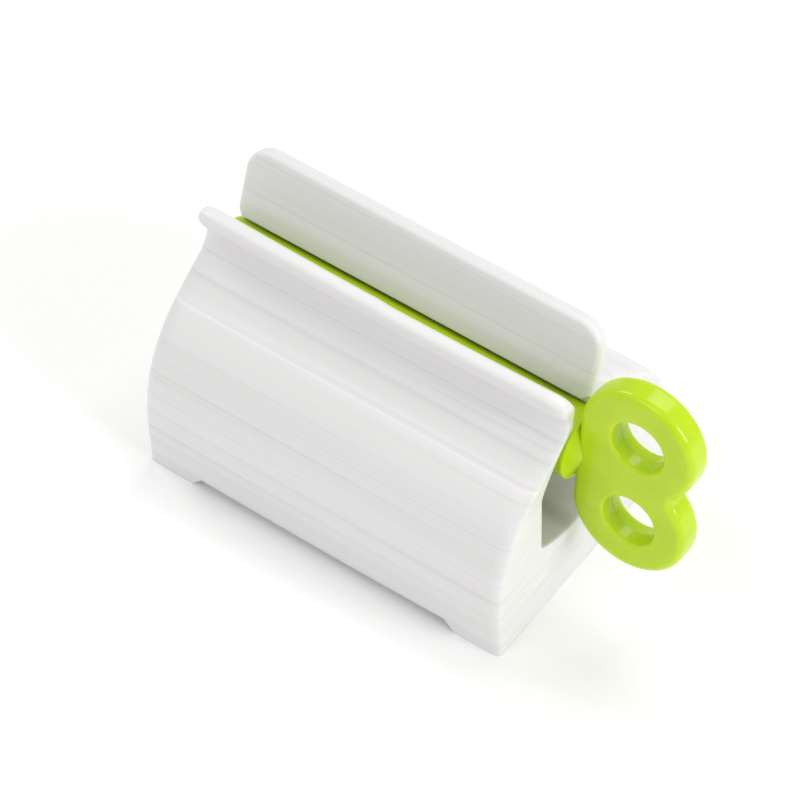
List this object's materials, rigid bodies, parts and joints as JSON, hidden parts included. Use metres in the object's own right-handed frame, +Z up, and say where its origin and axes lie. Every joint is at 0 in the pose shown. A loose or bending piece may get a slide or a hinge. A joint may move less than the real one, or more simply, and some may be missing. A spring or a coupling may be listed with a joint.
{
  "type": "toothpaste tube squeezer",
  "caption": "Table-top tube squeezer: a hollow moulded stand with a lip, a tall back plate and a round roll room, and a slotted winding key with a wing with finger holes.",
  "frame": {"origin": "centre of the bounding box, on the table that the feet rest on", "axes": "+X along the shaft towards the key's wing, -Y towards the front with the lip, +Z up"},
  "size_m": [0.1183, 0.0632, 0.067],
  "materials": {
    "white_plastic": "satin",
    "green_plastic": "glossy"
  },
  "bodies": {
    "stand": {"stand_body": "white_plastic"},
    "key": {"winding_key": "green_plastic"}
  },
  "joints": [
    {"name": "key_turn", "type": "hinge", "parent": "stand", "child": "key", "pos_m": [0, -0.0032, 0.04255], "axis": [1, 0, 0], "continuous": true}
  ]
}
